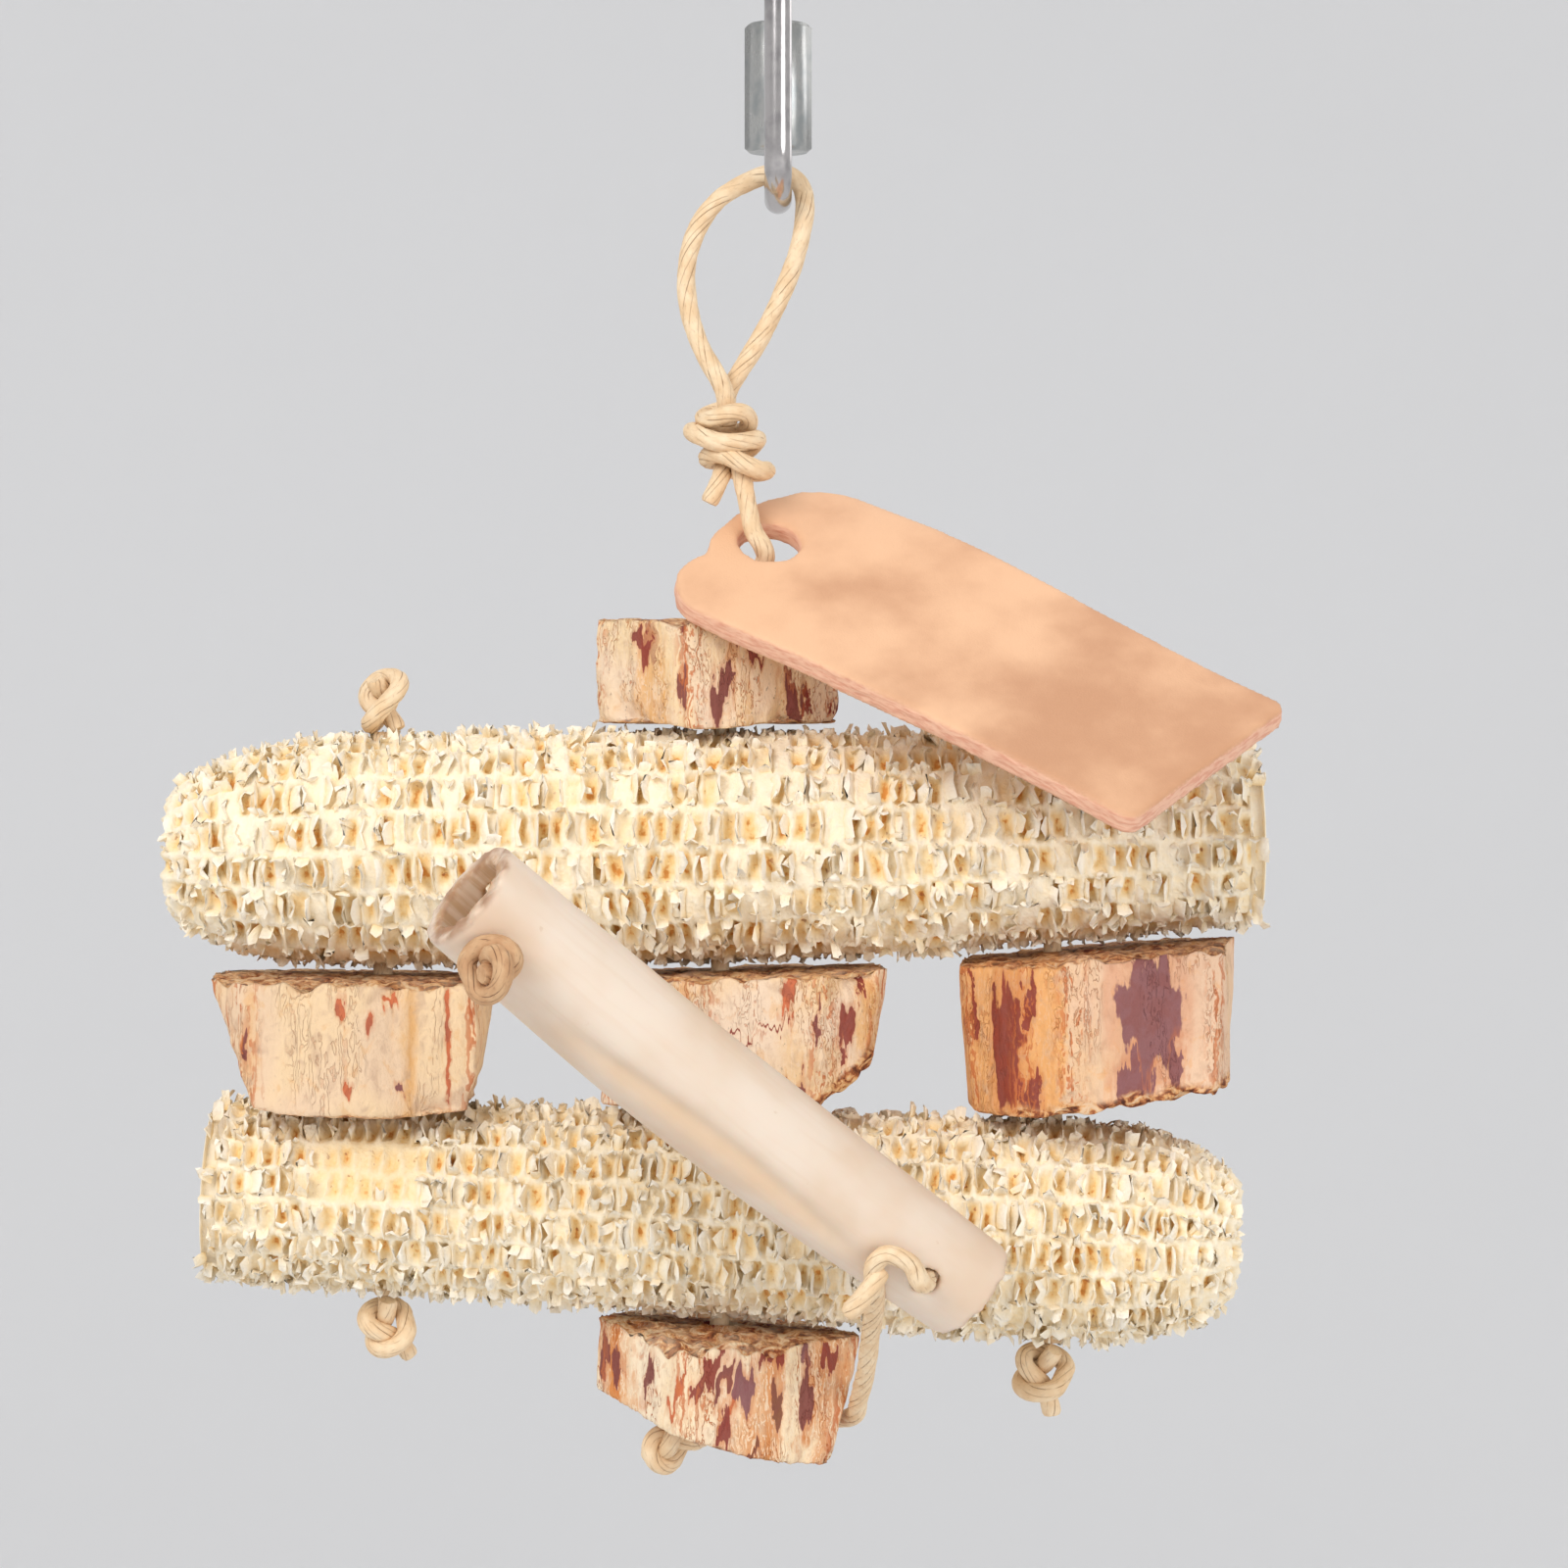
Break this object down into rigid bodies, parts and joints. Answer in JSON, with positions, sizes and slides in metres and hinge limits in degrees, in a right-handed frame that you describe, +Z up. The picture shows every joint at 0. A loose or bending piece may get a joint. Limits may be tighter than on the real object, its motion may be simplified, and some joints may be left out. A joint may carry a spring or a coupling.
{
  "type": "bird chew toy",
  "caption": "Hanging bird chew toy: dried corn cobs, bark blocks, a leather tag and a hollow chew stick strung on twisted paper cord below a steel quick link.",
  "frame": {"origin": "hang point: the inner top of the quick link, where the hook or cage bar bears", "axes": "+Z up, +X along the cobs to the picture's right, +Y away from the front"},
  "size_m": [0.1393, 0.0892, 0.2032],
  "materials": {
    "steel": "polished wire",
    "zinc": "zinc-plated nut",
    "leather": "undyed tooling leather with fuzzy cut edges",
    "stick": "dry ivory stem, matt",
    "cob": "dried chaff with orange-brown kernel sockets",
    "cord": "twisted paper",
    "bark": "broken layered bark with red-brown patches"
  },
  "bodies": {
    "link": {"quick_link": "steel"},
    "nut": {"sleeve_nut": "zinc"},
    "loop": {"hanging_loop": "cord"},
    "knot": {"loop_knot": "cord", "loop_knot_core": "cord"},
    "stack": {"neck_cord": "cord", "main_cord": "cord", "bottom_cord": "cord", "main_bottom_knot": "cord", "upper_cob": "cob", "lower_cob": "cob", "left_cord": "cord", "left_top_knot": "cord", "left_bottom_knot": "cord", "right_cord": "cord", "right_top_knot": "cord", "right_bottom_knot": "cord", "stick_cob_cord": "cord", "stick_rear_knot": "cord"},
    "tag": {"leather_tag": "leather"},
    "top_block": {"top_bark": "bark"},
    "left_block": {"left_bark": "bark"},
    "middle_block": {"middle_bark": "bark"},
    "right_block": {"right_bark": "bark"},
    "bottom_block": {"bottom_bark": "bark"},
    "stick": {"chew_stick": "stick", "stick_front_knot": "cord", "stick_upper_cord": "cord", "stick_lower_cord": "cord"}
  },
  "joints": [
    {"name": "nut_travel", "type": "slide", "parent": "link", "child": "nut", "axis": [0, 0, 1], "range_m": [0, 0.008]},
    {"name": "loop_swing", "type": "hinge", "parent": "link", "child": "loop", "pos_m": [0, 0, -0.03675], "axis": [0, 1, 0], "range_deg": [-25, 25]},
    {"name": "loop_twist", "type": "hinge", "parent": "loop", "child": "knot", "pos_m": [-0.0066, 0, -0.0621], "axis": [0, 0, 1], "range_deg": [-90, 90]},
    {"name": "neck_nod", "type": "hinge", "parent": "knot", "child": "stack", "pos_m": [-0.005, -0.0014, -0.0734], "axis": [1, 0, 0], "range_deg": [-20, 20]},
    {"name": "tag_lift", "type": "hinge", "parent": "stack", "child": "tag", "pos_m": [-0.0014, -0.002, -0.08125], "axis": [-0.5849, -0.6379, -0.501], "range_deg": [0, 20]},
    {"name": "top_turn", "type": "hinge", "parent": "stack", "child": "top_block", "pos_m": [-0.0074, 0, -0.0968], "axis": [0, 0, 1], "range_deg": [-15, 15]},
    {"name": "left_turn", "type": "hinge", "parent": "stack", "child": "left_block", "pos_m": [-0.0504, 0, -0.1435], "axis": [0, 0, 1], "range_deg": [-20, 20]},
    {"name": "middle_turn", "type": "hinge", "parent": "stack", "child": "middle_block", "pos_m": [-0.0074, 0, -0.1434], "axis": [0, 0, 1], "range_deg": [-15, 15]},
    {"name": "right_turn", "type": "hinge", "parent": "stack", "child": "right_block", "pos_m": [0.035, 0, -0.1427], "axis": [0, 0, 1], "range_deg": [-15, 15]},
    {"name": "bottom_turn", "type": "hinge", "parent": "stack", "child": "bottom_block", "pos_m": [-0.0074, 0, -0.17964], "axis": [0.342, 0, 0.9397], "range_deg": [-10, 10], "deforming": ["stick_lower_cord"]},
    {"name": "stick_swing", "type": "hinge", "parent": "stack", "child": "stick", "pos_m": [-0.0285, -0.01406, -0.12545], "axis": [0.2195, 0.2548, -0.9417], "range_deg": [-5, 8], "deforming": ["stick_upper_cord", "stick_lower_cord"]}
  ]
}
